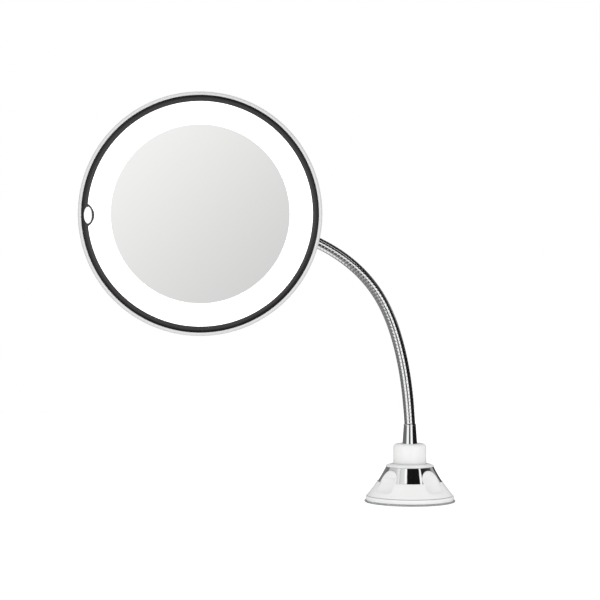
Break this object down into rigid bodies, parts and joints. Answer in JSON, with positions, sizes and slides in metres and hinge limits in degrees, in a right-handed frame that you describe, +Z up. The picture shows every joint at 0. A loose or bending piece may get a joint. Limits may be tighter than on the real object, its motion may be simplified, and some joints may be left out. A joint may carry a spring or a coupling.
{
  "type": "extendable shaving mirror",
  "caption": "Round lit magnifying mirror on a ball joint and bendable metal gooseneck, with a twist-lock suction base, rear battery bay and hinged battery door.",
  "frame": {"origin": "centre of the suction cup's sealing face, on the base's axis", "axes": "+Z up out of the base along its axis; the mirror looks along -Y; the neck leans towards -X"},
  "size_m": [0.2828, 0.1224, 0.3088],
  "materials": {
    "white_abs": "satin white moulded ABS",
    "chrome": "bright plated",
    "neck_metal": "plated wire wound in close coils",
    "clear_pvc": "soft translucent PVC",
    "acetal": "natural acetal",
    "steel": "zinc plated",
    "charcoal": "glossy charcoal",
    "opal": "opal acrylic, lit from behind",
    "mirror": "silvered glass",
    "foam": "closed-cell foam tape",
    "circuit_board": "white solder mask",
    "led": "phosphor-coated LED chips",
    "nickel": "nickel plated",
    "cell": "wrapped steel can",
    "red_sleeve": "PVC sleeve",
    "black_sleeve": "PVC sleeve"
  },
  "bodies": {
    "base": {"suction_cup": "clear_pvc", "base_housing": "white_abs"},
    "knob": {"lock_knob": "white_abs", "chrome_cone": "chrome", "shoulder_ring": "white_abs", "cam_sleeve": "acetal"},
    "puller": {"pull_stud": "acetal", "cam_pin": "steel", "neck_cap": "white_abs", "lower_ferrule": "chrome"},
    "link_01": {"neck_link_01": "neck_metal"},
    "link_02": {"neck_link_02": "neck_metal"},
    "link_03": {"neck_link_03": "neck_metal"},
    "link_04": {"neck_link_04": "neck_metal"},
    "link_05": {"neck_link_05": "neck_metal"},
    "link_06": {"neck_link_06": "neck_metal"},
    "link_07": {"neck_link_07": "neck_metal"},
    "link_08": {"neck_link_08": "neck_metal"},
    "link_09": {"neck_link_09": "neck_metal"},
    "link_10": {"neck_link_10": "neck_metal"},
    "link_11": {"neck_link_11": "neck_metal"},
    "link_12": {"neck_link_12": "neck_metal"},
    "neck_end": {"upper_ferrule": "chrome", "ball_stud": "chrome"},
    "seat": {"ball_seat": "acetal"},
    "pressure_ring": {"friction_ring": "acetal"},
    "head": {"socket_base": "white_abs", "socket_collar": "white_abs", "socket_screws": "steel", "rear_shell": "white_abs", "shell_screws": "steel", "front_rim": "white_abs", "dark_bezel": "charcoal", "diffuser_ring": "opal", "mirror_glass": "mirror", "mirror_pad": "foam", "light_tray": "white_abs", "led_board": "circuit_board", "led_chips": "led", "switch_body": "charcoal", "contact_springs": "nickel", "contact_plates": "nickel", "battery_1": "cell", "battery_2": "cell", "battery_3": "cell", "wire_red": "red_sleeve", "wire_black": "black_sleeve"},
    "button": {"power_button": "white_abs", "switch_plunger": "acetal"},
    "door": {"battery_door": "white_abs"}
  },
  "joints": [
    {"name": "stud_lift", "type": "slide", "parent": "base", "child": "puller", "axis": [0, 0, 1], "range_m": [0, 0.0025], "deforming": ["suction_cup"]},
    {"name": "knob_turn", "type": "hinge", "parent": "base", "child": "knob", "pos_m": [0, 0, 0], "axis": [0, 0, -1], "range_deg": [0, 90]},
    {"name": "neck_bend_1", "type": "hinge", "parent": "puller", "child": "link_01", "pos_m": [0, 0, 0.0607], "axis": [0.0029, -1, 0.0021], "range_deg": [-9, 8]},
    {"name": "neck_sway_1", "type": "hinge", "parent": "link_01", "child": "link_02", "pos_m": [-0.00143, 0, 0.08115], "axis": [0.995, 0, 0.1002], "range_deg": [-9, 9]},
    {"name": "neck_bend_2", "type": "hinge", "parent": "link_02", "child": "link_03", "pos_m": [-0.00411, 0, 0.10147], "axis": [0.0026, -1, 0.0025], "range_deg": [-9, 8]},
    {"name": "neck_sway_2", "type": "hinge", "parent": "link_03", "child": "link_04", "pos_m": [-0.00837, 0, 0.12153], "axis": [0.9681, 0, 0.2504], "range_deg": [-9, 9]},
    {"name": "neck_bend_3", "type": "hinge", "parent": "link_04", "child": "link_05", "pos_m": [-0.01436, 0, 0.14113], "axis": [0.0021, -1, 0.003], "range_deg": [-9, 8]},
    {"name": "neck_sway_3", "type": "hinge", "parent": "link_05", "child": "link_06", "pos_m": [-0.02319, 0, 0.15963], "axis": [0.8549, 0, 0.5188], "range_deg": [-9, 9]},
    {"name": "neck_bend_4", "type": "hinge", "parent": "link_06", "child": "link_07", "pos_m": [-0.03552, 0, 0.17601], "axis": [0.0008, -1, 0.0035], "range_deg": [-9, 8]},
    {"name": "neck_sway_4", "type": "hinge", "parent": "link_07", "child": "link_08", "pos_m": [-0.05088, 0, 0.18959], "axis": [0.5948, 0, 0.8039], "range_deg": [-9, 9]},
    {"name": "neck_bend_5", "type": "hinge", "parent": "link_08", "child": "link_09", "pos_m": [-0.06836, 0, 0.2003], "axis": [0.0385, -0.9991, -0.0165], "range_deg": [-9, 8]},
    {"name": "neck_sway_5", "type": "hinge", "parent": "link_09", "child": "link_10", "pos_m": [-0.08716, -0.00179, 0.20828], "axis": [0.3347, 0, 0.9423], "range_deg": [-9, 9]},
    {"name": "neck_bend_6", "type": "hinge", "parent": "link_10", "child": "link_11", "pos_m": [-0.10619, -0.00709, 0.21374], "axis": [0.3562, -0.931, -0.08], "range_deg": [-9, 8]},
    {"name": "neck_sway_6", "type": "hinge", "parent": "link_11", "child": "link_12", "pos_m": [-0.12402, -0.01672, 0.21688], "axis": [0.1421, 0, 0.9898], "range_deg": [-9, 9]},
    {"name": "neck_bend_7", "type": "hinge", "parent": "link_12", "child": "neck_end", "pos_m": [-0.13917, -0.03043, 0.21847], "axis": [0.7333, -0.677, -0.0625], "range_deg": [-9, 8]},
    {"name": "head_pan", "type": "hinge", "parent": "neck_end", "child": "seat", "pos_m": [-0.15838, -0.05599, 0.21982], "axis": [0, 0, 1], "range_deg": [-81, 7]},
    {"name": "head_tilt", "type": "hinge", "parent": "seat", "child": "pressure_ring", "pos_m": [-0.15838, -0.05599, 0.21982], "axis": [1, 0, 0], "range_deg": [-20, 20]},
    {"name": "head_spin", "type": "hinge", "parent": "pressure_ring", "child": "head", "pos_m": [-0.15838, -0.05599, 0.21982], "axis": [0, -1, 0], "continuous": true},
    {"name": "button_press", "type": "slide", "parent": "head", "child": "button", "axis": [0, 1, 0], "range_m": [0, 0.001], "stiffness_N_per_m": 800, "springref_m": -0.0008},
    {"name": "door_swing", "type": "hinge", "parent": "head", "child": "door", "pos_m": [-0.15838, -0.06389, 0.19432], "axis": [1, 0, 0], "range_deg": [0, 85]}
  ],
  "couplings": [
    {"joint": "knob_turn", "follows": "stud_lift", "rad_per_m": 628.32},
    {"joint": "neck_bend_2", "follows": "neck_bend_1", "ratio": 1},
    {"joint": "neck_sway_2", "follows": "neck_sway_1", "ratio": 1},
    {"joint": "neck_bend_3", "follows": "neck_bend_1", "ratio": 1},
    {"joint": "neck_sway_3", "follows": "neck_sway_1", "ratio": 1},
    {"joint": "neck_bend_4", "follows": "neck_bend_1", "ratio": 1},
    {"joint": "neck_sway_4", "follows": "neck_sway_1", "ratio": 1},
    {"joint": "neck_bend_5", "follows": "neck_bend_1", "ratio": 1},
    {"joint": "neck_sway_5", "follows": "neck_sway_1", "ratio": 1},
    {"joint": "neck_bend_6", "follows": "neck_bend_1", "ratio": 1},
    {"joint": "neck_sway_6", "follows": "neck_sway_1", "ratio": 1},
    {"joint": "neck_bend_7", "follows": "neck_bend_1", "ratio": 1}
  ]
}
